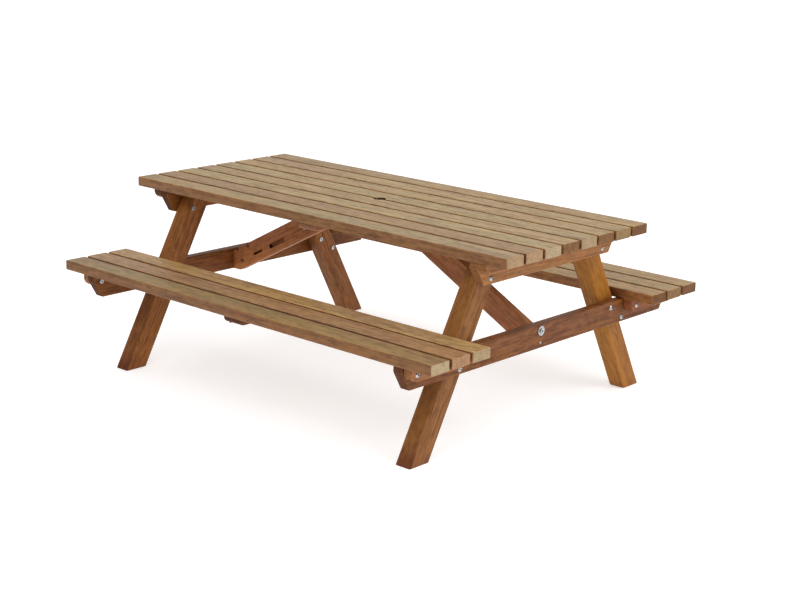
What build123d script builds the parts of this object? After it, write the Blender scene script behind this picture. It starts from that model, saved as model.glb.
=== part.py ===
from build123d import *
import math
import os

# A picnic table with two attached benches: a top of eight boards and two seats of three
# boards, carried by two A-frames and two diagonal braces, all bolted or screwed together.
# X runs along the boards, Y from the front bench to the back bench, and Z is up. The
# origin lies on the ground under the middle of the top. Every length is in millimetres.

# Overall sizes.
table_length = 2000
table_height = 748.5
seat_height = 447
bench_inner_y = 501

# Boards of the top and the seats.
board_width = 96
board_gap = 13.25
board_thickness = 40
board_corner_radius = 4
board_edge_radius = 4.5
table_board_count = 8
bench_board_count = 3
board_pitch = board_width + board_gap
table_underside = table_height - board_thickness
seat_underside = seat_height - board_thickness

# Parasol hole, cut through the two middle boards and the centre batten under them.
parasol_radius = 25
parasol_rim = 2

# Legs: square-cut posts that lean out towards the benches.
frame_face_x = 822.5
leg_width = 72
leg_depth = 91
leg_lean = 28.3
leg_foot_y = 656.5
leg_edge_radius = 8
foot_chamfer = 3

# Cross beams, bolted to the outer faces of the legs.
beam_thickness = 40
beam_depth = 92
top_beam_half = 421
seat_beam_half = 808.5
beam_end_drop = 22
beam_end_angle = 30
beam_shoulder_radius = 20
beam_end_radius = 10
beam_edge_radius = 3.5

# End battens, bolted to the outer faces of the beams and standing on edge.
batten_thickness = 40
top_batten_depth = 37
bench_batten_depth = 50
batten_end_radius = 32
batten_edge_radius = 3.5
top_batten_half = 423.5
bench_batten_inner_y = 504
bench_batten_outer_y = 800

# Centre battens, laid flat under the middle of the boards.
centre_batten_width = 92
centre_batten_depth = 28
centre_batten_end_radius = 20
top_centre_batten_half = 416

# Diagonal braces, off centre so that a parasol pole can pass them.
brace_thickness = 30
brace_depth = 93.5
brace_slope = 27.7
brace_centre_y = -33
brace_top_at_beam = 398
brace_toe_radius = 30
brace_edge_radius = 2.5
slot_recess = 18
slot_corner_share = 0.25

# M8 bolts with domed socket heads. Each screws into a cap nut, whose sleeve lies in the wood.
bolt_radius = 4
bolt_end_gap = 1
bolt_end_chamfer = 1
dome_radius = 10.5
dome_height = 5.5
socket_flats = 6
socket_depth = 3.5
washer_radius = 10.5
washer_thickness = 2
sleeve_radius = 5
sleeve_length = 22
sleeve_bore_radius = 4.1
cap_radius = 9.5
cap_height = 3.5
cap_rim_radius = 1.5
bolt_hole_radius = 5.25

# Coach bolt with a broad washer that holds each brace to its seat beam.
brace_bolt_radius = 5
brace_bolt_length = 110
brace_bolt_head_radius = 9
brace_bolt_head_height = 5
brace_bolt_socket_flats = 8
brace_bolt_socket_depth = 3.5
brace_washer_radius = 19
brace_washer_thickness = 3

# Wood screws with low round heads.
screw_radius = 2.5
screw_clearance = 0.1
screw_head_radius = 5
screw_head_height = 3
screw_point = 5
screw_crown_share = 0.6
pilot_spare = 1
screw_bite = 30
board_screw_length = centre_batten_depth + screw_bite
brace_screw_length = 95
screw_spread_y = 18
screw_spread_x = 24
counterbore_radius = 6.5

# The vertical share of an edge's direction above which it is not level, or is upright.
level_rise = 0.1
upright_rise = 0.9

# Derived levels and places.
lean = math.tan(math.radians(leg_lean))
leg_half_cut = leg_depth / math.cos(math.radians(leg_lean)) / 2
beam_face_x = frame_face_x + beam_thickness
batten_face_x = beam_face_x + batten_thickness
batten_centre_x = beam_face_x + batten_thickness / 2
seat_beam_underside = seat_underside - beam_depth
slope = math.tan(math.radians(brace_slope))
screw_head_drop = centre_batten_depth

# Bolt positions across a frame, as (y, z) on the back half. The front half mirrors them.
seat_leg_bolts = [(421, 385), (498, 334)]
top_leg_bolt = (341, 638)
top_batten_bolt = (262, 690)
bench_batten_bolts = [(540, 383), (771, 383)]
brace_bolt_z = 383
brace_screw_z = 337
brace_top_screw_xs = [105, 150]


def save(part, label):
    """Name a finished piece and write it as one STEP file."""
    part.label = label
    export_step(part, f"parts/{label}.step")


def side_plane(x, y, z):
    """A plane facing +X, with its own x along Y and its own y along Z."""
    return Plane(origin=(x, y, z), x_dir=(0, 1, 0), z_dir=(1, 0, 0))


def facing_x(side, x, y, z):
    """A plane on a frame's face that looks away from the table's middle."""
    return Plane(origin=(side * x, y, z), x_dir=(0, 1, 0), z_dir=(side, 0, 0))


def facing_down(x, y, z):
    """A plane on an underside, looking down."""
    return Plane(origin=(x, y, z), z_dir=(0, 0, -1))


def both_sides(points):
    """Mirror (y, z) places from the back half to the front half."""
    return [(sign * y, z) for y, z in points for sign in (-1, 1)]


def end_batten_screws(board_y):
    """Two screws in line on each end batten, for one board."""
    spots = []
    for x in (-batten_centre_x, batten_centre_x):
        spots += [(x, board_y - screw_spread_y), (x, board_y + screw_spread_y)]
    return spots


def centre_batten_screws(board_y):
    """Two screws set diagonally on the centre batten, for one board."""
    return [(-screw_spread_x, board_y - screw_spread_y), (screw_spread_x, board_y + screw_spread_y)]


table_board_ys = [(i - (table_board_count - 1) / 2) * board_pitch for i in range(table_board_count)]
back_bench_ys = [bench_inner_y + board_width / 2 + i * board_pitch for i in range(bench_board_count)]
front_bench_ys = [-y for y in reversed(back_bench_ys)]
top_brace_screws = [(side * x, brace_centre_y) for side in (-1, 1) for x in brace_top_screw_xs]


# ---------------------------------------------------------------- boards
def make_board(label, board_y, underside, pilots):
    """One board with rounded corners and edges, and blind pilot holes from below."""
    base = Plane(origin=(0, board_y, underside))
    with BuildPart() as board:
        with BuildSketch(base):
            Rectangle(table_length, board_width)
        extrude(amount=board_thickness)
        fillet(board.edges().filter_by(Axis.Z), board_corner_radius)
        rims = board.faces().filter_by(Axis.Z)
        fillet(rims.edges(), board_edge_radius)
        with BuildSketch(base):
            with Locations(*[(x, y - board_y) for x, y in pilots]):
                Circle(screw_radius + screw_clearance)
        extrude(amount=board_screw_length - screw_head_drop + pilot_spare, mode=Mode.SUBTRACT)
        if abs(board_y) < board_width:
            with BuildSketch(Plane.XY.offset(underside)):
                Circle(parasol_radius)
            extrude(amount=board_thickness, mode=Mode.SUBTRACT)
            with Locations((0, 0, table_height - parasol_rim)):
                Cone(parasol_radius, parasol_radius + parasol_rim, parasol_rim,
                     align=(Align.CENTER, Align.CENTER, Align.MIN), mode=Mode.SUBTRACT)
    save(board.part, label)


for number, y in enumerate(table_board_ys, start=1):
    holes = end_batten_screws(y) + centre_batten_screws(y)
    if abs(y - brace_centre_y) < board_width / 2:
        holes += top_brace_screws
    make_board(f"table_board_{number}", y, table_underside, holes)

for bench, ys in (("front", front_bench_ys), ("back", back_bench_ys)):
    for number, y in enumerate(ys, start=1):
        holes = end_batten_screws(y) + centre_batten_screws(y)
        make_board(f"{bench}_bench_board_{number}", y, seat_underside, holes)


# ---------------------------------------------------------------- legs
def leg_line(y_at_ground, z, side):
    """Where a leg's sloping face stands at height z, on the front (-1) or back (+1) side."""
    return side * (y_at_ground - lean * z)


def rises(edge):
    """True for an edge that climbs from one end of a leg to the other."""
    return abs(edge.tangent_at(0.5).Z) > level_rise


def make_leg(label, end, side):
    """One leaning post, cut level at the ground and under the top boards."""
    inner_x = frame_face_x - leg_width
    first_x = inner_x if end > 0 else -frame_face_x
    outer_y = leg_foot_y + leg_half_cut
    inner_y = leg_foot_y - leg_half_cut
    corners = [
        (leg_line(outer_y, 0, side), 0),
        (leg_line(inner_y, 0, side), 0),
        (leg_line(inner_y, table_underside, side), table_underside),
        (leg_line(outer_y, table_underside, side), table_underside),
    ]
    with BuildPart() as leg:
        with BuildSketch(side_plane(first_x, 0, 0)):
            Polygon(*corners, align=None)
        extrude(amount=leg_width)
        fillet(leg.edges().filter_by(rises), leg_edge_radius)
        chamfer(leg.faces().sort_by(Axis.Z)[0].edges(), foot_chamfer)
        bolts = seat_leg_bolts + [top_leg_bolt, top_batten_bolt]
        with Locations(*[facing_x(end, frame_face_x, side * y, z) for y, z in bolts]):
            Hole(bolt_hole_radius, depth=leg_width)
    save(leg.part, label)


for end, end_name in ((-1, "left"), (1, "right")):
    for side, side_name in ((-1, "front"), (1, "back")):
        make_leg(f"{side_name}_{end_name}_leg", end, side)


# ---------------------------------------------------------------- cross beams
def make_beam(label, end, half_length, top_z, bolts, brace_holes):
    """One cross beam with sloping, rounded ends, drilled for its bolts."""
    first_x = frame_face_x if end > 0 else -beam_face_x
    run = (beam_depth - beam_end_drop) * math.tan(math.radians(beam_end_angle))
    half_outline = [
        (half_length, 0),
        (half_length, -beam_end_drop),
        (half_length - run, -beam_depth),
    ]
    outline = half_outline + [(-y, z) for y, z in reversed(half_outline)]
    with BuildPart() as beam:
        with BuildSketch(side_plane(first_x, 0, top_z)) as profile:
            Polygon(*outline, align=None)
            fillet(profile.vertices().group_by(Axis.Y)[1], beam_shoulder_radius)
            fillet(profile.vertices().group_by(Axis.Y)[0], beam_end_radius)
        extrude(amount=beam_thickness)
        fillet(beam.faces().filter_by(Axis.X).edges(), beam_edge_radius)
        with Locations(*[facing_x(end, beam_face_x, y, z) for y, z in bolts]):
            Hole(bolt_hole_radius, depth=beam_thickness)
        if brace_holes:
            with Locations(facing_x(end, beam_face_x, brace_centre_y, brace_bolt_z)):
                Hole(bolt_hole_radius, depth=beam_thickness)
            with Locations(facing_x(end, beam_face_x, brace_centre_y, brace_screw_z)):
                Hole(screw_radius + screw_clearance, depth=beam_thickness)
    save(beam.part, label)


for end, end_name in ((-1, "left"), (1, "right")):
    top_bolts = both_sides([top_leg_bolt, top_batten_bolt])
    make_beam(f"{end_name}_top_beam", end, top_beam_half, table_underside, top_bolts, False)
    seat_bolts = both_sides(seat_leg_bolts + bench_batten_bolts)
    make_beam(f"{end_name}_seat_beam", end, seat_beam_half, seat_underside, seat_bolts, True)


# ---------------------------------------------------------------- end battens
def make_end_batten(label, end, span, depth, top_z, board_ys, bolts):
    """One batten on edge, with rounded lower corners, bolt holes and screw counterbores."""
    first_y, last_y = span
    first_x = beam_face_x if end > 0 else -batten_face_x
    screws = [(x, y) for board_y in board_ys for x, y in end_batten_screws(board_y) if x * end > 0]
    with BuildPart() as batten:
        with BuildSketch(side_plane(first_x, (first_y + last_y) / 2, top_z)) as profile:
            Rectangle(last_y - first_y, depth, align=(Align.CENTER, Align.MAX))
            fillet(profile.vertices().group_by(Axis.Y)[0], batten_end_radius)
        extrude(amount=batten_thickness)
        fillet(batten.faces().filter_by(Axis.X).edges(), batten_edge_radius)
        with Locations(*[facing_down(x, y, top_z - depth) for x, y in screws]):
            CounterBoreHole(
                radius=screw_radius + screw_clearance,
                counter_bore_radius=counterbore_radius,
                counter_bore_depth=depth - screw_head_drop,
                depth=depth,
            )
        with Locations(*[facing_x(end, batten_face_x, y, z) for y, z in bolts]):
            Hole(bolt_hole_radius, depth=batten_thickness)
    save(batten.part, label)


# ---------------------------------------------------------------- centre battens
def make_centre_batten(label, first_y, last_y, top_z, board_ys, pole_hole):
    """One flat batten under the middle of the boards, with rounded ends and screw holes."""
    screws = [spot for board_y in board_ys for spot in centre_batten_screws(board_y)]
    with BuildPart() as batten:
        with BuildSketch(side_plane(-centre_batten_width / 2, (first_y + last_y) / 2, top_z)) as profile:
            Rectangle(last_y - first_y, centre_batten_depth, align=(Align.CENTER, Align.MAX))
            fillet(profile.vertices().group_by(Axis.Y)[0], centre_batten_end_radius)
        extrude(amount=centre_batten_width)
        fillet(batten.faces().filter_by(Axis.X).edges(), batten_edge_radius)
        with Locations(*[facing_down(x, y, top_z - centre_batten_depth) for x, y in screws]):
            Hole(screw_radius + screw_clearance, depth=centre_batten_depth)
        if pole_hole:
            with Locations(facing_down(0, 0, top_z - centre_batten_depth)):
                Hole(parasol_radius, depth=centre_batten_depth)
    save(batten.part, label)


top_batten_span = (-top_batten_half, top_batten_half)
front_batten_span = (-bench_batten_outer_y, -bench_batten_inner_y)
back_batten_span = (bench_batten_inner_y, bench_batten_outer_y)

for end, end_name in ((-1, "left"), (1, "right")):
    make_end_batten(f"{end_name}_top_batten", end, top_batten_span, top_batten_depth,
                    table_underside, table_board_ys, both_sides([top_batten_bolt]))
    make_end_batten(f"front_bench_{end_name}_batten", end, front_batten_span, bench_batten_depth,
                    seat_underside, front_bench_ys, [(-y, z) for y, z in bench_batten_bolts])
    make_end_batten(f"back_bench_{end_name}_batten", end, back_batten_span, bench_batten_depth,
                    seat_underside, back_bench_ys, bench_batten_bolts)

make_centre_batten("top_centre_batten", -top_centre_batten_half, top_centre_batten_half,
                   table_underside, table_board_ys, True)
make_centre_batten("front_bench_centre_batten", -bench_batten_outer_y, -bench_batten_inner_y,
                   seat_underside, front_bench_ys, False)
make_centre_batten("back_bench_centre_batten", bench_batten_inner_y, bench_batten_outer_y,
                   seat_underside, back_bench_ys, False)


# ---------------------------------------------------------------- diagonal braces
brace_cut = brace_depth / math.cos(math.radians(brace_slope))


def brace_upper(x):
    """Height of a brace's upper edge at a distance x from the table's middle."""
    return brace_top_at_beam + slope * (frame_face_x - x)


def brace_lower(x):
    """Height of a brace's lower edge at a distance x from the table's middle."""
    return brace_upper(x) - brace_cut


def slopes(edge):
    """True for a straight edge that runs with a brace's slope, neither level nor upright."""
    rise = abs(edge.tangent_at(0.5).Z)
    return edge.geom_type == GeomType.LINE and level_rise < rise < upright_rise


def make_brace(label, end, slots):
    """One brace from a seat beam's inner face up to the top boards and the centre batten."""
    batten_side = centre_batten_width / 2
    toe_x = frame_face_x - (seat_beam_underside - brace_lower(frame_face_x)) / slope
    head_x = frame_face_x - (table_underside - brace_top_at_beam) / slope
    outline = [
        (frame_face_x, seat_beam_underside),
        (frame_face_x, brace_top_at_beam),
        (head_x, table_underside),
        (batten_side, table_underside),
        (batten_side, brace_lower(batten_side)),
        (toe_x, seat_beam_underside),
    ]
    front_y = brace_centre_y - brace_thickness / 2
    turn = math.radians(brace_slope)
    face_plane = Plane(origin=(0, front_y, 0), x_dir=(end, 0, 0), z_dir=(0, -end, 0))
    with BuildPart() as brace:
        with BuildSketch(face_plane) as profile:
            Polygon(*outline, align=None)
            toe = profile.vertices().sort_by_distance((toe_x, seat_beam_underside))[0]
            fillet(toe, brace_toe_radius)
        extrude(amount=-end * brace_thickness)
        fillet(brace.edges().filter_by(slopes), brace_edge_radius)
        for centre_x, drop, length, width in slots:
            centre_z = (brace_upper(centre_x) + brace_lower(centre_x)) / 2 - drop
            slot_plane = Plane(origin=(end * centre_x, front_y, centre_z),
                               x_dir=(-end * math.cos(turn), 0, math.sin(turn)), z_dir=(0, -1, 0))
            with BuildSketch(slot_plane):
                RectangleRounded(length, width, width * slot_corner_share)
            extrude(amount=-slot_recess, mode=Mode.SUBTRACT)
        with Locations(facing_x(end, frame_face_x, brace_centre_y, brace_bolt_z)):
            Hole(bolt_hole_radius, depth=brace_bolt_length - beam_thickness + pilot_spare)
        with Locations(facing_x(end, frame_face_x, brace_centre_y, brace_screw_z)):
            Hole(screw_radius + screw_clearance, depth=brace_screw_length - beam_thickness + pilot_spare)
        for x in brace_top_screw_xs:
            start_z = brace_lower(x) - counterbore_radius
            with Locations(facing_down(end * x, brace_centre_y, start_z)):
                CounterBoreHole(
                    radius=screw_radius + screw_clearance,
                    counter_bore_radius=counterbore_radius,
                    counter_bore_depth=table_underside - screw_head_drop - start_z,
                    depth=table_underside - start_z,
                )
    save(brace.part, label)


# Two blind slots, each as (distance from the middle, drop below the centre line, length, width).
left_brace_slots = [(549, 13, 104, 19), (667, 12, 60, 11)]
make_brace("left_brace", -1, left_brace_slots)
make_brace("right_brace", 1, [])


# ---------------------------------------------------------------- bolts, washers and nuts
def make_bolts(label, end, outer_x, grip, places):
    """Domed socket-head bolts along X with their heads outside, at (y, z) places on one frame."""
    tip = bolt_end_gap - grip - washer_thickness
    neck = tip + bolt_end_chamfer
    ball_radius = (dome_radius**2 + dome_height**2) / (2 * dome_height)
    rim_angle = math.degrees(math.asin((ball_radius - dome_height) / ball_radius))
    with BuildPart() as bolts:
        for y, z in places:
            with BuildSketch(Plane(origin=(end * outer_x, y, z), x_dir=(0, 1, 0), z_dir=(0, 0, -end))):
                with BuildLine():
                    Line((0, tip), (bolt_radius - bolt_end_chamfer, tip))
                    Line((bolt_radius - bolt_end_chamfer, tip), (bolt_radius, neck))
                    Line((bolt_radius, neck), (bolt_radius, 0))
                    Line((bolt_radius, 0), (dome_radius, 0))
                    CenterArc((0, dome_height - ball_radius), ball_radius, rim_angle, 90 - rim_angle)
                    Line((0, dome_height), (0, tip))
                make_face()
            revolve(axis=Axis((0, y, z), (1, 0, 0)))
            with BuildSketch(facing_x(end, outer_x + dome_height, y, z)):
                RegularPolygon(socket_flats / 2, 6, major_radius=False)
            extrude(amount=-socket_depth, mode=Mode.SUBTRACT)
    save(bolts.part, label)


def make_washers(label, end, places):
    """Plain washers on inner faces, at (face_x, y, z) places on one frame."""
    with BuildPart() as washers:
        for face_x, y, z in places:
            with BuildSketch(facing_x(end, face_x, y, z)):
                Circle(washer_radius)
                Circle(bolt_hole_radius, mode=Mode.SUBTRACT)
            extrude(amount=-washer_thickness)
    save(washers.part, label)


def make_cap_nuts(label, end, places):
    """Cap nuts seated on the washers of one frame, each with a hexagon socket and a sleeve."""
    with BuildPart() as nuts:
        for face_x, y, z in places:
            seat = facing_x(end, face_x - washer_thickness, y, z)
            with BuildSketch(seat):
                Circle(cap_radius)
            cap = extrude(amount=-cap_height)
            outer_face = cap.faces().sort_by(Axis.X)[0 if end > 0 else -1]
            fillet(outer_face.edges(), cap_rim_radius)
            with BuildSketch(seat):
                RegularPolygon(socket_flats / 2, 6, major_radius=False)
            extrude(amount=-cap_height, mode=Mode.SUBTRACT)
            with BuildSketch(seat):
                Circle(sleeve_radius)
                Circle(sleeve_bore_radius, mode=Mode.SUBTRACT)
            extrude(amount=sleeve_length)
    save(nuts.part, label)


leg_inner_x = frame_face_x - leg_width
leg_grip = beam_thickness + leg_width
long_leg_grip = batten_thickness + leg_grip
batten_grip = batten_thickness + beam_thickness
short_leg_bolts = both_sides(seat_leg_bolts + [top_leg_bolt])
long_leg_bolts = both_sides([top_batten_bolt])
batten_bolts = both_sides(bench_batten_bolts)
nut_places = [(leg_inner_x, y, z) for y, z in short_leg_bolts + long_leg_bolts]
nut_places += [(frame_face_x, y, z) for y, z in batten_bolts]

for end, end_name in ((-1, "left"), (1, "right")):
    make_bolts(f"{end_name}_leg_bolts", end, beam_face_x, leg_grip, short_leg_bolts)
    make_bolts(f"{end_name}_top_batten_bolts", end, batten_face_x, long_leg_grip, long_leg_bolts)
    make_bolts(f"{end_name}_bench_batten_bolts", end, batten_face_x, batten_grip, batten_bolts)
    make_washers(f"{end_name}_bolt_washers", end, nut_places)
    make_cap_nuts(f"{end_name}_cap_nuts", end, nut_places)


# ---------------------------------------------------------------- brace fixings
with BuildPart() as brace_washers:
    for end in (-1, 1):
        with BuildSketch(facing_x(end, beam_face_x, brace_centre_y, brace_bolt_z)):
            Circle(brace_washer_radius)
            Circle(bolt_hole_radius, mode=Mode.SUBTRACT)
        extrude(amount=brace_washer_thickness)
save(brace_washers.part, "brace_washers")

with BuildPart() as brace_bolts:
    for end in (-1, 1):
        seat = facing_x(end, beam_face_x + brace_washer_thickness, brace_centre_y, brace_bolt_z)
        with BuildSketch(seat):
            Circle(brace_bolt_radius)
        extrude(amount=-brace_bolt_length)
        with BuildSketch(seat):
            Circle(brace_bolt_head_radius)
        extrude(amount=brace_bolt_head_height)
        with BuildSketch(seat.offset(brace_bolt_head_height)):
            RegularPolygon(brace_bolt_socket_flats / 2, 6, major_radius=False)
        extrude(amount=-brace_bolt_socket_depth, mode=Mode.SUBTRACT)
save(brace_bolts.part, "brace_bolts")


# ---------------------------------------------------------------- wood screws
def screw_outline(length):
    """Half the outline of a screw: its point at the top, its head below the seat at (0, 0)."""
    Line((0, -screw_head_height), (screw_head_radius * screw_crown_share, -screw_head_height))
    Line((screw_head_radius * screw_crown_share, -screw_head_height), (screw_head_radius, 0))
    Line((screw_head_radius, 0), (screw_radius, 0))
    Line((screw_radius, 0), (screw_radius, length - screw_point))
    Line((screw_radius, length - screw_point), (0, length))
    Line((0, length), (0, -screw_head_height))


def make_upright_screws(label, seat_z, spots):
    """Screws driven upwards, each head's seat at seat_z."""
    with BuildPart() as screws:
        for x, y in spots:
            with BuildSketch(Plane(origin=(x, y, seat_z), x_dir=(1, 0, 0), z_dir=(0, -1, 0))):
                with BuildLine():
                    screw_outline(board_screw_length)
                make_face()
            revolve(axis=Axis((x, y, seat_z), (0, 0, 1)))
    save(screws.part, label)


for deck, ys, underside in (
    ("top", table_board_ys, table_underside),
    ("front_bench", front_bench_ys, seat_underside),
    ("back_bench", back_bench_ys, seat_underside),
):
    seat_z = underside - screw_head_drop
    end_spots = [spot for y in ys for spot in end_batten_screws(y)]
    make_upright_screws(f"{deck}_left_batten_screws", seat_z, [(x, y) for x, y in end_spots if x < 0])
    make_upright_screws(f"{deck}_right_batten_screws", seat_z, [(x, y) for x, y in end_spots if x > 0])
    centre_spots = [spot for y in ys for spot in centre_batten_screws(y)]
    make_upright_screws(f"{deck}_centre_batten_screws", seat_z, centre_spots)

make_upright_screws("brace_top_screws", table_underside - screw_head_drop, top_brace_screws)

with BuildPart() as brace_end_screws:
    for end in (-1, 1):
        with BuildSketch(Plane(origin=(end * beam_face_x, brace_centre_y, brace_screw_z),
                               x_dir=(0, 1, 0), z_dir=(0, 0, end))):
            with BuildLine():
                screw_outline(brace_screw_length)
            make_face()
        revolve(axis=Axis((0, brace_centre_y, brace_screw_z), (1, 0, 0)))
save(brace_end_screws.part, "brace_end_screws")
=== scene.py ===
import math
import random

import bpy
from mathutils import Matrix, Vector


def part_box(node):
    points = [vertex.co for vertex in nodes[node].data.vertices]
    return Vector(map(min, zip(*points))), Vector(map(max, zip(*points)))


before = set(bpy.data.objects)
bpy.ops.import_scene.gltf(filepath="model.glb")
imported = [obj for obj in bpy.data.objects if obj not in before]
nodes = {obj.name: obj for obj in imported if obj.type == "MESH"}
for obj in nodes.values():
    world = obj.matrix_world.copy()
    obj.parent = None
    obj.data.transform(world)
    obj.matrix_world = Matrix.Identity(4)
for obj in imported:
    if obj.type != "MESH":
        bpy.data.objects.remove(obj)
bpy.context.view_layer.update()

# A picnic table with two benches. Every wooden piece and fastener keeps its CAD shape, and each piece of
# wood gets its own material, so that no two have the same grain. All lengths are in metres.

random.seed(21)


# ---------------------------------------------------------------------------------------------------
# Small helpers for building shader trees
# ---------------------------------------------------------------------------------------------------

class Tree:
    """A node tree with short calls. An input given as a number or tuple is set, and a socket is linked."""

    def __init__(self, tree):
        self.tree = tree

    def add(self, kind, inputs=None, **settings):
        node = self.tree.nodes.new(kind)
        for name, value in settings.items():
            setattr(node, name, value)
        for key, value in (inputs or {}).items():
            if isinstance(value, bpy.types.NodeSocket):
                self.tree.links.new(value, node.inputs[key])
            else:
                node.inputs[key].default_value = value
        return node

    def math(self, operation, a, b=0.0, c=0.0, clamp=False):
        inputs = {0: a, 1: b, 2: c}
        return self.add("ShaderNodeMath", inputs, operation=operation, use_clamp=clamp).outputs[0]

    def vector(self, operation, a, b=(0.0, 0.0, 0.0)):
        return self.add("ShaderNodeVectorMath", {0: a, 1: b}, operation=operation).outputs["Vector"]

    def stretch(self, value, low, high, to_low=0.0, to_high=1.0, smooth=True):
        """Maps low..high to to_low..to_high, clamped, with soft ends."""
        kind = "SMOOTHSTEP" if smooth else "LINEAR"
        inputs = {"Value": value, "From Min": low, "From Max": high, "To Min": to_low, "To Max": to_high}
        return self.add("ShaderNodeMapRange", inputs, interpolation_type=kind).outputs[0]

    def noise(self, position, scale=1.0, detail=2.0, roughness=0.5, distortion=0.0):
        inputs = {"Vector": position, "Scale": scale, "Detail": detail, "Roughness": roughness,
                  "Distortion": distortion}
        return self.add("ShaderNodeTexNoise", inputs).outputs["Fac"]

    def mix(self, factor, a, b, blend="MIX"):
        node = self.add("ShaderNodeMix", data_type="RGBA", blend_type=blend)
        for index, value in ((0, factor), (6, a), (7, b)):
            if isinstance(value, bpy.types.NodeSocket):
                self.tree.links.new(value, node.inputs[index])
            else:
                node.inputs[index].default_value = value
        return node.outputs[2]

    def tint(self, factor, color, tone):
        """Multiplies a colour by a tone, as far as the factor says."""
        return self.mix(factor, color, self.mix(1.0, color, tone, "MULTIPLY"))

    def scaled(self, position, x, y, z):
        return self.vector("MULTIPLY", position, (x, y, z))


def rgb(red, green, blue):
    """A colour from display values 0..255, as the linear values that shaders take."""
    def linear(value):
        share = value / 255
        if share <= 0.04045:
            return share / 12.92
        return ((share + 0.055) / 1.055) ** 2.4
    return (linear(red), linear(green), linear(blue), 1.0)


# ---------------------------------------------------------------------------------------------------
# Wood: one node group, used by every piece with its own tones, seed and heartwood
# ---------------------------------------------------------------------------------------------------

# What the wood's colour is multiplied by for painted sheen on tops, painted highlight and wear on edges,
# dirt, pores, painted shade and so on
SHEEN_TINT = (1.26, 1.84, 2.15, 1.0)
EDGE_HIGHLIGHT_AND_WEAR = (1.32, 1.28, 1.22, 1.0)
END_DIRT = (0.62, 0.55, 0.50, 1.0)
PORE = (0.35, 0.27, 0.22, 1.0)
# Painted shade in holes and slots
HOLE_SHADE = (0.26, 0.19, 0.15, 1.0)
DAMP = (0.52, 0.34, 0.42, 1.0)
SHADED = (0.30, 0.24, 0.20, 1.0)

# Knot cells for each metre along and across the grain, and how far a knot is drawn out along it
KNOTS_ALONG = 1.7
KNOTS_ACROSS = 7.0
KNOT_STRETCH = 0.75

# Glued strips: the length between two finger joints, and the depth of a finger
STRIP_LENGTH = 0.41
FINGER_DEPTH = 0.0022

# How far a foot's stain reaches up the leg, and the colour in a nick
STAIN_REACH = 0.06
NICK_TONE = rgb(62, 28, 16)


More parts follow.
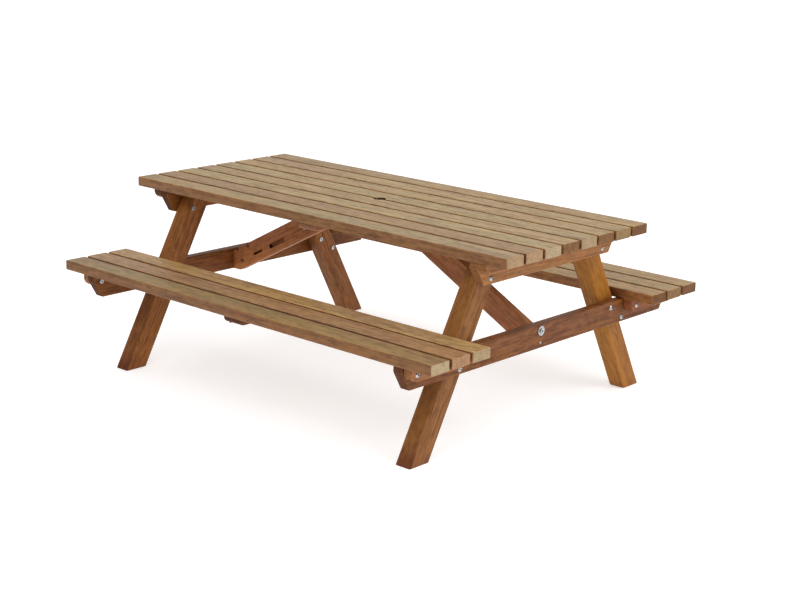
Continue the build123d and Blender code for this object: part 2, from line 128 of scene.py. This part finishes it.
def wood_group():
    """Solid wood in a piece's own metres: X runs along the grain, Y across the width, Z through it."""
    group = bpy.data.node_groups.new("solid_wood", "ShaderNodeTree")
    face = group.interface
    sockets = (("Position", "NodeSocketVector", None),
               ("Normal", "NodeSocketVector", None),
               ("Upright", "NodeSocketVector", None),
               ("Half size", "NodeSocketVector", (1.0, 0.048, 0.02)),
               ("Seed", "NodeSocketVector", (0.0, 0.0, 0.0)),
               ("Heart", "NodeSocketVector", (0.0, 0.0, -0.1)),
               ("Ring width", "NodeSocketFloat", 0.004),
               ("Ring contrast", "NodeSocketFloat", 0.3),
               ("Streak contrast", "NodeSocketFloat", 0.5),
               ("Light tone", "NodeSocketColor", (0.4, 0.25, 0.14, 1.0)),
               ("Dark tone", "NodeSocketColor", (0.2, 0.1, 0.05, 1.0)),
               ("End tone", "NodeSocketColor", (0.3, 0.2, 0.1, 1.0)),
               ("Lamella width", "NodeSocketFloat", 1.0),
               ("Lamella contrast", "NodeSocketFloat", 0.0),
               ("Knots", "NodeSocketFloat", 0.0),
               ("Top sheen", "NodeSocketFloat", 0.0),
               ("Crevice", "NodeSocketFloat", 0.3),
               ("End stain", "NodeSocketFloat", 0.0),
               ("Stain start", "NodeSocketFloat", -9.0),
               ("Bore shade", "NodeSocketFloat", 0.0))
    for name, kind, value in sockets:
        socket = face.new_socket(name, in_out="INPUT", socket_type=kind)
        if value is not None:
            socket.default_value = value
    for name, kind in (("Color", "NodeSocketColor"), ("Roughness", "NodeSocketFloat"),
                       ("Height", "NodeSocketFloat")):
        face.new_socket(name, in_out="OUTPUT", socket_type=kind)
    t = Tree(group)
    given = t.add("NodeGroupInput").outputs
    place = given["Position"]
    seeded = t.vector("ADD", place, given["Seed"])

    # Lamellas: strips glued side by side, each with its own tone, cut into finger-jointed lengths
    split = t.add("ShaderNodeSeparateXYZ", {0: place}).outputs
    strip = t.math("FLOOR", t.math("DIVIDE", t.math("ADD", split[1], 0.013), given["Lamella width"]))
    layer = t.math("FLOOR", t.math("DIVIDE", t.math("ADD", split[2], 0.5), 1.0))
    fingers = t.math("MULTIPLY", t.math("PINGPONG", split[2], FINGER_DEPTH), 4.0)
    strip_shift = t.math("MULTIPLY", t.math("FRACT", t.math("MULTIPLY", strip, 0.618)), 0.47)
    along = t.math("ADD", t.math("ADD", split[0], fingers), strip_shift)
    length = t.math("FLOOR", t.math("DIVIDE", t.math("ADD", along, 0.11), STRIP_LENGTH))
    cell = t.add("ShaderNodeCombineXYZ", {0: length, 1: strip, 2: layer}).outputs[0]
    cell_seed = t.vector("ADD", cell, t.vector("FLOOR", given["Seed"]))
    dice = t.add("ShaderNodeTexWhiteNoise", {"Vector": cell_seed}, noise_dimensions="3D").outputs
    lamella = t.math("MULTIPLY", t.math("SUBTRACT", dice["Value"], 0.5), given["Lamella contrast"])
    shifted = t.vector("ADD", seeded, t.vector("MULTIPLY", dice["Color"], t.vector(
        "MULTIPLY", (3.0, 0.4, 0.4), given["Lamella contrast"])))

    # Knots: few and small, and the rings swing round them
    spread = t.scaled(shifted, KNOTS_ALONG, KNOTS_ACROSS, KNOTS_ACROSS)
    cells = t.add("ShaderNodeTexVoronoi", {"Vector": spread, "Scale": 1.0, "Randomness": 0.8}).outputs
    knot_dice = t.add("ShaderNodeSeparateColor", {0: cells["Color"]}).outputs
    has_knot = t.math("LESS_THAN", knot_dice[0], given["Knots"])
    knot_place = t.vector("SUBTRACT", spread, cells["Position"])
    knot_metres = t.scaled(knot_place, 1 / KNOTS_ALONG * KNOT_STRETCH, 1 / KNOTS_ACROSS, 1 / KNOTS_ACROSS)
    from_knot = t.add("ShaderNodeVectorMath", {0: knot_metres}, operation="LENGTH").outputs["Value"]
    swing = t.math("MULTIPLY", t.stretch(from_knot, 0.05, 0.004), has_knot)
    core = t.math("MULTIPLY", t.stretch(from_knot, 0.0095, 0.0055), has_knot)

    # Growth rings about the heart of the log, wavering slowly along it
    waver = t.noise(t.scaled(shifted, 1.3, 9.0, 9.0), 1.0, 3.0, 0.55)
    fine_waver = t.noise(t.scaled(shifted, 7.0, 60.0, 60.0), 1.0, 2.0, 0.5)
    across = t.scaled(t.vector("SUBTRACT", place, given["Heart"]), 0.035, 1.0, 1.0)
    radius = t.add("ShaderNodeVectorMath", {0: across}, operation="LENGTH").outputs["Value"]
    bent = t.math("ADD", radius, t.math("MULTIPLY", waver, 0.034))
    bent = t.math("ADD", bent, t.math("MULTIPLY", fine_waver, 0.0022))
    bent = t.math("ADD", bent, t.math("MULTIPLY", swing, 0.011))
    count = t.math("DIVIDE", bent, given["Ring width"])
    ring_noise = t.add("ShaderNodeTexNoise", {"W": count, "Scale": 0.37, "Detail": 1.0},
                       noise_dimensions="1D").outputs["Fac"]
    phase = t.math("FRACT", t.math("ADD", count, t.math("MULTIPLY", ring_noise, 1.6)))
    late = t.math("MULTIPLY", t.stretch(phase, 0.35, 0.92), t.stretch(phase, 1.0, 0.93))
    uneven = t.stretch(t.noise(t.scaled(shifted, 2.1, 30.0, 30.0), 1.0, 2.0), 0.3, 0.7, 0.35, 1.0)
    ring = t.math("MULTIPLY", late, uneven)

    # Fibres, streaks, specks, pores and the slow drift of colour
    broad_streak = t.noise(t.scaled(shifted, 5.0, 95.0, 95.0), 1.0, 3.0, 0.6)
    fine_streak = t.noise(t.scaled(shifted, 16.0, 430.0, 430.0), 1.0, 3.0, 0.65)
    dark_line = t.stretch(t.noise(t.scaled(shifted, 3.4, 150.0, 150.0), 1.0, 2.0, 0.6), 0.54, 0.74)
    speck = t.stretch(t.noise(t.scaled(shifted, 34.0, 190.0, 190.0), 1.0, 2.0, 0.7), 0.52, 0.72)
    mottle = t.noise(t.scaled(shifted, 24.0, 62.0, 62.0), 1.0, 2.0, 0.6)
    fleck = t.noise(t.scaled(shifted, 150.0, 900.0, 900.0), 1.0, 1.0, 0.5)
    pore_place = t.scaled(shifted, 62.0, 880.0, 880.0)
    pore = t.stretch(t.noise(pore_place, 1.0, 0.0), 0.71, 0.80)
    drift = t.noise(t.scaled(shifted, 1.1, 11.0, 11.0), 1.0, 3.0, 0.6)
    warm_drift = t.noise(t.vector("ADD", t.scaled(shifted, 2.3, 17.0, 17.0), (31.0, 7.0, 3.0)), 1.0, 2.0)

    # End grain shows where the surface faces along the piece
    facing = t.add("ShaderNodeSeparateXYZ", {0: given["Normal"]}).outputs[0]
    end = t.stretch(t.math("ABSOLUTE", facing), 0.62, 0.86)

    # How far along from the light tone to the dark tone
    contrast = given["Streak contrast"]
    amount = t.math("MULTIPLY", t.math("SUBTRACT", broad_streak, 0.5), 2.6)
    amount = t.math("ADD", amount, t.math("MULTIPLY", t.math("SUBTRACT", fine_streak, 0.5), 1.5))
    amount = t.math("ADD", amount, t.math("MULTIPLY", t.math("SUBTRACT", drift, 0.5), 1.3))
    amount = t.math("ADD", amount, t.math("MULTIPLY", t.math("SUBTRACT", fleck, 0.5), 0.5))
    amount = t.math("ADD", amount, t.math("MULTIPLY", dark_line, 0.62))
    amount = t.math("ADD", amount, t.math("MULTIPLY", speck, 0.38))
    amount = t.math("ADD", amount, t.math("MULTIPLY", t.math("SUBTRACT", mottle, 0.5), 2.4))
    amount = t.math("SUBTRACT", amount, 0.20)
    amount = t.math("MULTIPLY", amount, contrast)
    amount = t.math("ADD", amount, t.math("MULTIPLY", ring, given["Ring contrast"]))
    amount = t.math("ADD", amount, lamella)
    amount = t.math("ADD", amount, 0.44, clamp=True)
    color = t.mix(amount, given["Light tone"], given["Dark tone"])
    hue = t.add("ShaderNodeHueSaturation", {
        "Hue": t.stretch(warm_drift, 0.25, 0.75, 0.495, 0.505, False),
        "Saturation": t.stretch(drift, 0.25, 0.75, 1.04, 0.97, False),
        "Value": 1.0, "Color": color}).outputs[0]

    # Painted sheen: faces that look up are paler and less red
    upward = t.add("ShaderNodeSeparateXYZ", {0: given["Upright"]}).outputs[2]
    sheen_share = t.math("MULTIPLY", t.stretch(upward, 0.35, 0.9), given["Top sheen"])
    hue = t.tint(sheen_share, hue, SHEEN_TINT)

    # End grain: rings as arcs, pores as dots, saw marks and fine checks
    end_noise = t.noise(t.scaled(shifted, 40.0, 1100.0, 1100.0), 1.0, 1.0)
    end_spots = t.stretch(end_noise, 0.40, 0.66, 1.0, 0.66)
    saw = t.noise(t.scaled(shifted, 10.0, 40.0, 900.0), 1.0, 1.0, 0.5)
    check = t.noise(t.scaled(shifted, 6.0, 330.0, 45.0), 1.0, 2.0, 0.6)
    blotch = t.noise(t.scaled(shifted, 5.0, 55.0, 55.0), 1.0, 3.0, 0.6)
    end_value = t.math("MULTIPLY", end_spots, t.stretch(ring, 0.0, 1.0, 1.0, 0.68, False))
    end_value = t.math("MULTIPLY", end_value, t.stretch(saw, 0.3, 0.7, 0.9, 1.06, False))
    end_red = t.add("ShaderNodeSeparateColor", {0: given["End tone"]}).outputs[0]
    coarse = t.stretch(end_red, 0.24, 0.42, 1.0, 0.35)
    checked = t.stretch(check, 0.34, 0.66, -0.46, 0.40, False)
    end_value = t.math("MULTIPLY", end_value, t.math("ADD", 1.0, t.math("MULTIPLY", checked, coarse)))
    end_value = t.math("MULTIPLY", end_value, t.stretch(blotch, 0.25, 0.75, 0.82, 1.14, False))
    end_color = t.add("ShaderNodeHueSaturation", {"Hue": 0.5, "Saturation": 1.0, "Value": end_value,
                                                  "Color": given["End tone"]}).outputs[0]
    color = t.mix(end, hue, end_color)
    pore_depth = t.stretch(end, 0.0, 1.0, 0.42, 0.25, False)
    color = t.tint(t.math("MULTIPLY", pore, pore_depth), color, PORE)
    knot_color = t.mix(t.stretch(from_knot, 0.002, 0.008), rgb(58, 24, 12), rgb(96, 44, 22))
    color = t.mix(t.math("MULTIPLY", core, 0.85), color, knot_color)

    # Edges: arrises are paler, from wear and a painted highlight along their rounding, and smoother, and
    # the last stretch before an end holds dirt
    size = t.vector("SUBTRACT", given["Half size"], t.add(
        "ShaderNodeVectorMath", {0: place}, operation="ABSOLUTE").outputs["Vector"])
    gap = t.add("ShaderNodeSeparateXYZ", {0: size}).outputs
    low = t.math("MINIMUM", gap[0], gap[1])
    high = t.math("MAXIMUM", gap[0], gap[1])
    from_edge = t.math("MAXIMUM", low, t.math("MINIMUM", high, gap[2]))
    ragged = t.math("ADD", from_edge, t.math("MULTIPLY", t.math("SUBTRACT", t.noise(
        t.scaled(shifted, 60.0, 160.0, 160.0), 1.0, 2.0), 0.5), 0.004))
    edge = t.stretch(ragged, 0.0052, 0.0010)
    highlight_and_wear = t.math("MULTIPLY", edge, t.math("SUBTRACT", 1.0, end))
    # Painted highlight and wear: paler arrises
    color = t.tint(t.math("MULTIPLY", highlight_and_wear, 0.50), color, EDGE_HIGHLIGHT_AND_WEAR)
    near_end = t.stretch(t.math("ADD", gap[0], t.math("MULTIPLY", fine_streak, 0.02)), 0.028, 0.004)
    color = t.tint(t.math("MULTIPLY", near_end, 0.22), color, END_DIRT)

    # Painted shade: walls of holes and slots, which lie inside the piece's own box, are darkened
    inside = t.math("MINIMUM", t.math("MINIMUM", gap[0], gap[1]), gap[2])
    hole_shade = t.math("MULTIPLY", t.stretch(inside, 0.0012, 0.004), given["Bore shade"])
    color = t.tint(hole_shade, color, HOLE_SHADE)

    # A damp, reddish stain that has crept up a foot, mostly on the face that looks to the front
    damp = t.math("ADD", split[0], t.math("MULTIPLY", t.math("SUBTRACT", broad_streak, 0.5), 0.09))
    low_end = t.math("SUBTRACT", given["Stain start"], damp)
    outward = t.add("ShaderNodeSeparateXYZ", {0: given["Upright"]}).outputs[1]
    stained = t.math("MULTIPLY", t.stretch(low_end, -0.045, 0.045), given["End stain"])
    stained = t.math("MULTIPLY", stained, t.stretch(outward, 0.2, -0.5, 0.25, 1.0))
    color = t.tint(stained, color, DAMP)

    # Dirt and shade gather in the narrow gaps between pieces
    open_share = t.add("ShaderNodeAmbientOcclusion", {"Distance": 0.055}, samples=6).outputs["AO"]
    crevice = t.math("MULTIPLY", t.stretch(open_share, 0.72, 0.22), given["Crevice"])
    color = t.tint(crevice, color, SHADED)

    # Finish
    rough = t.math("ADD", 0.50, t.math("MULTIPLY", t.math("SUBTRACT", broad_streak, 0.5), 0.25))
    rough = t.math("ADD", rough, t.math("MULTIPLY", pore, 0.18))
    rough = t.math("ADD", rough, t.math("MULTIPLY", end, 0.22))
    rough = t.math("SUBTRACT", rough, t.math("MULTIPLY", highlight_and_wear, 0.07), clamp=True)
    height = t.math("MULTIPLY", fine_streak, 0.45)
    height = t.math("ADD", height, t.math("MULTIPLY", broad_streak, 0.35))
    height = t.math("SUBTRACT", height, t.math("MULTIPLY", pore, 0.50))
    height = t.math("ADD", height, t.math("MULTIPLY", ring, 0.18))
    height = t.math("ADD", height, t.math("MULTIPLY", t.math("MULTIPLY", saw, end), 0.5))
    t.add("NodeGroupOutput", {"Color": color, "Roughness": rough, "Height": height})
    return group


WOOD = wood_group()


# How far each channel moves from the middle tone to the light and to the dark one
LIGHT_SHARES = (0.9, 1.0, 1.15)
DARK_SHARES = (0.9, 1.1, 1.25)


class Tones:
    """The colours of one piece of wood: the middle tone of its long sides, and its end grain."""

    def __init__(self, side, end, spread=0.34):
        light = [value * (1 + spread * share) for value, share in zip(side, LIGHT_SHARES)]
        dark = [value * (1 - spread * share) for value, share in zip(side, DARK_SHARES)]
        self.light = tuple(light) + (1,)
        self.dark = tuple(dark) + (1,)
        self.end = end


TAN = Tones(rgb(122, 83, 48), rgb(176, 145, 108))
ROSY = Tones(rgb(120, 77, 43), rgb(177, 143, 106))
PALE = Tones(rgb(130, 91, 53), rgb(184, 162, 126))
FRONT_PALE = Tones(rgb(115, 76, 40), rgb(184, 163, 124))
FRONT_ROSY = Tones(rgb(127, 80, 47), rgb(176, 135, 97))
# Painted light: a paler tone for the front bench's inner board, making up for the shade the table casts on
# it
LIT_INNER_PALE = Tones(rgb(143, 94, 54), rgb(178, 153, 114))
SAND = Tones(rgb(130, 88, 51), rgb(152, 122, 80))
BROWN_END = Tones(rgb(130, 88, 50), rgb(132, 91, 48))
DARK_END = Tones(rgb(128, 85, 48), rgb(122, 80, 43))
BACK_BROWN = Tones(rgb(136, 89, 46), rgb(117, 75, 34))
BACK_SAND = Tones(rgb(131, 88, 48), rgb(142, 108, 66))
MIDDLE_PALE = Tones(rgb(127, 88, 50), rgb(174, 148, 112))
RED = Tones(rgb(110, 65, 29), rgb(98, 56, 30), 0.34)
# Painted light: the back bench battens get a paler end than RED, making up for the shade on their end faces
LIT_BATTEN_RED = Tones(rgb(130, 76, 42), rgb(158, 92, 54), 0.3)
# Painted light: a lighter copy of RED for the braces, which stand in shade under the table
LIT_BRACE_RED = Tones(rgb(152, 96, 58), rgb(112, 66, 38), 0.3)
ORANGE = Tones(rgb(148, 100, 58), rgb(154, 104, 64))
# Painted light: a pale tan for the top's centre batten, whose end lies in shade under the boards
LIT_BATTEN_TAN = Tones(rgb(156, 108, 70), rgb(166, 117, 84), 0.26)
OLIVE = Tones(rgb(124, 80, 39), rgb(110, 70, 38), 0.34)
BROWN = Tones(rgb(128, 79, 36), rgb(96, 56, 30), 0.34)
GOLD = Tones(rgb(146, 93, 33), rgb(114, 68, 30), 0.24)


def local_axes(name, along, across):
    """The piece's centre, half size and turn into its own frame, with X along the grain."""
    first = Vector(along).normalized()
    third = first.cross(Vector(across)).normalized()
    second = third.cross(first)
    turn = Matrix((first, second, third))
    turned = [turn @ vertex.co for vertex in nodes[name].data.vertices]
    low = Vector([min(point[axis] for point in turned) for axis in range(3)])
    high = Vector([max(point[axis] for point in turned) for axis in range(3)])
    return turn, (low + high) / 2, (high - low) / 2


def wood_material(name, tones, along, across, ring_width, ring_contrast, streaks, lamella=1.0,
                  lamella_contrast=0.0, knots=0.0, gloss=0.18, top_sheen=0.12, crevice=0.3, stain=0.0,
                  bore=0.0, nicks=()):
    """A material for one piece, whose grain follows that piece."""
    turn, centre, half = local_axes(name, along, across)
    euler = turn.to_euler("XYZ")
    material = bpy.data.materials.new("wood_" + name)
    material.use_nodes = True
    material.node_tree.nodes.clear()
    t = Tree(material.node_tree)
    source = t.add("ShaderNodeTexCoord").outputs
    place = t.add("ShaderNodeMapping", {"Vector": source["Object"], "Location": -centre,
                                        "Rotation": euler}, vector_type="POINT").outputs[0]
    normal = t.add("ShaderNodeMapping", {"Vector": source["Normal"], "Rotation": euler},
                   vector_type="VECTOR").outputs[0]
    seed = Vector([round(random.uniform(1, 90), 2) for _ in range(3)])
    side = random.choice((-1, 1))
    heart = Vector((random.uniform(-0.8, 0.8), random.uniform(-0.06, 0.06),
                    side * random.uniform(0.03, 0.12)))
    wood = t.add("ShaderNodeGroup", node_tree=WOOD)
    values = {"Position": place, "Normal": normal, "Half size": half, "Seed": seed, "Heart": heart,
              "Ring width": ring_width, "Ring contrast": ring_contrast, "Streak contrast": streaks,
              "Light tone": tones.light, "Dark tone": tones.dark, "End tone": tones.end,
              "Lamella width": lamella, "Lamella contrast": lamella_contrast, "Knots": knots,
              "Upright": source["Normal"], "Top sheen": top_sheen, "Crevice": crevice, "End stain": stain,
              "Stain start": STAIN_REACH - half.x, "Bore shade": bore}
    for key, value in values.items():
        if isinstance(value, bpy.types.NodeSocket):
            t.tree.links.new(value, wood.inputs[key])
        else:
            wood.inputs[key].default_value = value
    bump = t.add("ShaderNodeBump", {"Strength": 0.35, "Distance": 0.0006, "Height": wood.outputs["Height"]})
    color = wood.outputs["Color"]
    ragged = t.math("MULTIPLY", t.noise(t.scaled(source["Object"], 130.0, 130.0, 130.0)), 0.012)
    for nick in nicks:
        offset = t.scaled(t.vector("SUBTRACT", source["Object"], nick), 0.75, 0.3, 1.0)
        distance = t.add("ShaderNodeVectorMath", {0: offset}, operation="LENGTH").outputs["Value"]
        near = t.stretch(t.math("ADD", distance, ragged), 0.019, 0.010)
        color = t.mix(t.math("MULTIPLY", near, 0.72), color, NICK_TONE)
    shader = t.add("ShaderNodeBsdfPrincipled", {
        "Base Color": color, "Roughness": wood.outputs["Roughness"],
        "Normal": bump.outputs[0], "Specular IOR Level": gloss})
    t.add("ShaderNodeOutputMaterial", {"Surface": shader.outputs[0]})
    return material


def cover(name, material):
    """Puts a material on every slot of a CAD node."""
    slots = nodes[name].data.materials
    if not len(slots):
        slots.append(material)
    for index in range(len(slots)):
        slots[index] = material


X, Y, Z = (1, 0, 0), (0, 1, 0), (0, 0, 1)


def boards(prefix, tones):
    for number, tone in enumerate(tones, 1):
        name = f"{prefix}_{number}"
        ring_width = random.uniform(0.0035, 0.006)
        ring_contrast = random.uniform(0.18, 0.34)
        cover(name, wood_material(name, tone, X, Y, ring_width, ring_contrast, 0.9,
                                  gloss=0.32, top_sheen=1.0, crevice=0.95, bore=1.0))


boards("table_board", (TAN, ROSY, PALE, BROWN_END, MIDDLE_PALE, BROWN_END, SAND, DARK_END))
boards("front_bench_board", (FRONT_PALE, FRONT_ROSY, LIT_INNER_PALE))
boards("back_bench_board", (BACK_BROWN, BACK_SAND, DARK_END))


# ---------------------------------------------------------------------------------------------------
# Frames: legs, beams, battens and braces
# ---------------------------------------------------------------------------------------------------

def leg_direction(name):
    """A leg leans in towards the top: its length runs from the foot's middle to the head's middle."""
    vertices = [vertex.co for vertex in nodes[name].data.vertices]
    floor = min(point.z for point in vertices)
    top = max(point.z for point in vertices)
    foot = [point.y for point in vertices if point.z < floor + 0.001]
    head = [point.y for point in vertices if point.z > top - 0.001]
    lean = (min(head) + max(head)) / 2 - (min(foot) + max(foot)) / 2
    return Vector((0, lean, top - floor))


LEG_TONES = {"front_left": (BROWN, 0.5, 0.7), "front_right": (OLIVE, 0.5, 0.8),
             "back_left": (BROWN, 0.4, 0.4), "back_right": (GOLD, 0.28, 0.0)}
for corner, (tone, strips, stain) in LEG_TONES.items():
    name = corner + "_leg"
    cover(name, wood_material(name, tone, leg_direction(name), Y, 0.005, 0.4,
                              0.95, lamella=0.03, lamella_contrast=strips, stain=stain))

for side in ("left", "right"):
    name = side + "_seat_beam"
    cover(name, wood_material(name, RED, Y, Z, 0.006, 0.62, 1.0, knots=0.10))
    name = side + "_top_beam"
    cover(name, wood_material(name, ORANGE if side == "right" else BROWN, Y, Z, 0.004, 0.3, 0.65))
    name = side + "_top_batten"
    cover(name, wood_material(name, ORANGE if side == "right" else OLIVE, Y, Z, 0.004, 0.3, 0.6))
    for bench in ("front", "back"):
        name = f"{bench}_bench_{side}_batten"
        cover(name, wood_material(name, LIT_BATTEN_RED if bench == "back" else ORANGE, Y, Z, 0.004, 0.4, 0.8,
                                  crevice=0.15))
for place in ("top", "front_bench", "back_bench"):
    name = place + "_centre_batten"
    cover(name, wood_material(name, LIT_BATTEN_TAN if place == "top" else RED, Y, X, 0.005, 0.3, 0.6,
                              crevice=0.0 if place == "top" else 0.3))


def brace_direction(name):
    """A brace climbs from its toe at a seat beam to the middle of the top."""
    low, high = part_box(name)
    rise = high.z - low.z
    run = high.x - low.x
    return Vector((math.copysign(run, (low.x + high.x) * -1), 0, rise))


# Places of small dark nicks on each brace's front face
BRACE_NICKS = {"left": ((-0.731, -0.048, 0.431), (-0.767, -0.048, 0.360), (-0.800, -0.048, 0.405)),
               "right": ()}
for side in ("left", "right"):
    name = side + "_brace"
    direction = brace_direction(name)
    upward = (-direction.z, 0, direction.x)
    cover(name, wood_material(name, LIT_BRACE_RED, direction, upward, 0.005, 0.34, 0.8,
                              knots=0.25, crevice=0.6, nicks=BRACE_NICKS[side]))


# ---------------------------------------------------------------------------------------------------
# Steel fasteners
# ---------------------------------------------------------------------------------------------------

def steel_material(name, tone, dull, roughness, seed):
    """Plated steel: faint crystals, rubbed patches and painted shade in the hollows."""
    material = bpy.data.materials.new(name)
    material.use_nodes = True
    material.node_tree.nodes.clear()
    t = Tree(material.node_tree)
    place = t.vector("ADD", t.add("ShaderNodeTexCoord").outputs["Object"], seed)
    crystals = t.add("ShaderNodeTexVoronoi", {"Vector": place, "Scale": 700.0}).outputs["Color"]
    crystal = t.add("ShaderNodeSeparateColor", {0: crystals}).outputs[0]
    patches = t.noise(place, 120.0, 3.0, 0.6)
    color = t.mix(t.stretch(patches, 0.35, 0.7), tone, dull)
    color = t.tint(t.math("MULTIPLY", crystal, 0.2), color, (0.8, 0.82, 0.86, 1))
    # Painted shade: close hollows are darkened almost to black
    open_share = t.add("ShaderNodeAmbientOcclusion", {"Distance": 0.005}, samples=6).outputs["AO"]
    hollow_shade = t.stretch(open_share, 0.75, 0.3)
    color = t.mix(hollow_shade, color, (0.02, 0.018, 0.016, 1))
    rough = t.math("ADD", roughness, t.math("MULTIPLY", patches, 0.2))
    bump = t.add("ShaderNodeBump", {"Strength": 0.12, "Distance": 0.0002, "Height": patches})
    shader = t.add("ShaderNodeBsdfPrincipled", {"Base Color": color, "Roughness": rough,
                                                "Metallic": 1.0, "Normal": bump.outputs[0]})
    t.add("ShaderNodeOutputMaterial", {"Surface": shader.outputs[0]})
    return material


ZINC = steel_material("zinc", (0.50, 0.50, 0.50, 1), (0.30, 0.30, 0.31, 1), 0.16, (0.0, 0.0, 0.0))
STAINLESS = steel_material("stainless", (0.48, 0.47, 0.45, 1), (0.30, 0.29, 0.27, 1), 0.22, (3.0, 1.0, 2.0))
for name in nodes:
    if "bolt" in name or "washer" in name or "nuts" in name:
        cover(name, ZINC)
    elif "screw" in name:
        cover(name, STAINLESS)


# ---------------------------------------------------------------------------------------------------
# Studio: pale floor, soft light and the camera
# ---------------------------------------------------------------------------------------------------

def floor_material():
    """Pale floor that lights itself a little, so that the table's shadow stays faint."""
    material = bpy.data.materials.new("studio_floor")
    material.use_nodes = True
    material.node_tree.nodes.clear()
    t = Tree(material.node_tree)
    place = t.add("ShaderNodeTexCoord").outputs["Object"]
    tone = t.mix(t.noise(place, 0.8, 3.0), (0.69, 0.69, 0.69, 1), (0.71, 0.71, 0.71, 1))
    shader = t.add("ShaderNodeBsdfPrincipled", {
        "Base Color": tone, "Roughness": 0.9, "Specular IOR Level": 0.1,
        "Emission Color": (1.0, 1.0, 1.0, 1.0), "Emission Strength": 0.55})
    t.add("ShaderNodeOutputMaterial", {"Surface": shader.outputs[0]})
    return material


def make_floor():
    half_size = 60.0
    level = -0.0005
    mesh = bpy.data.meshes.new("studio_floor")
    corners = [(x * half_size, y * half_size, level) for x, y in ((-1, -1), (1, -1), (1, 1), (-1, 1))]
    mesh.from_pydata(corners, [], [(0, 1, 2, 3)])
    mesh.materials.append(floor_material())
    floor = bpy.data.objects.new("studio_floor", mesh)
    bpy.context.scene.collection.objects.link(floor)


def make_light(name, place, target, size, power):
    data = bpy.data.lights.new(name, "AREA")
    data.shape = "DISK"
    data.size = size
    data.energy = power
    light = bpy.data.objects.new(name, data)
    light.location = place
    light.rotation_euler = (Vector(target) - Vector(place)).to_track_quat("-Z", "Y").to_euler()
    bpy.context.scene.collection.objects.link(light)


def make_world():
    """A white room: brightest overhead and beyond the table, and dimmer behind the camera."""
    world = bpy.data.worlds.new("studio")
    world.use_nodes = True
    t = Tree(world.node_tree)
    background = world.node_tree.nodes["Background"]
    direction = t.add("ShaderNodeTexCoord").outputs["Generated"]
    bright_side = Vector((0.25, 0.75, 0.62)).normalized()
    toward = t.add("ShaderNodeVectorMath", {0: direction, 1: bright_side}, operation="DOT_PRODUCT")
    level = t.stretch(toward.outputs["Value"], -0.6, 0.7, 0.16, 1.18, False)
    background.inputs["Color"].default_value = (1.0, 1.0, 1.0, 1.0)
    t.tree.links.new(level, background.inputs["Strength"])
    bpy.context.scene.world = world


def make_camera():
    """Looks at the table from its front right corner, slightly above eye height."""
    place = Vector((4.31618, -4.67957, 2.05089))
    yaw = math.radians(41.86)
    pitch = math.radians(15.16)
    roll = math.radians(1.35)
    ahead = Vector((-math.sin(yaw) * math.cos(pitch), math.cos(yaw) * math.cos(pitch), -math.sin(pitch)))
    level = Vector((math.cos(yaw), math.sin(yaw), 0))
    upright = level.cross(ahead)
    right = math.cos(roll) * level + math.sin(roll) * upright
    up = math.cos(roll) * upright - math.sin(roll) * level
    data = bpy.data.cameras.new("camera")
    data.sensor_width = 36.0
    data.lens = 72.335
    data.clip_end = 200.0
    camera = bpy.data.objects.new("camera", data)
    camera.matrix_world = Matrix.Translation(place) @ Matrix((right, up, -ahead)).transposed().to_4x4()
    bpy.context.scene.collection.objects.link(camera)
    bpy.context.scene.camera = camera


make_floor()
make_world()
TABLE_MIDDLE = (0, 0, 0.4)
make_light("key", (4.5, 1.0, 4.0), TABLE_MIDDLE, 2.5, 60)
make_light("front", (1.5, -3.6, 3.8), TABLE_MIDDLE, 3.0, 85)
make_camera()
bpy.context.scene.view_settings.view_transform = "Standard"
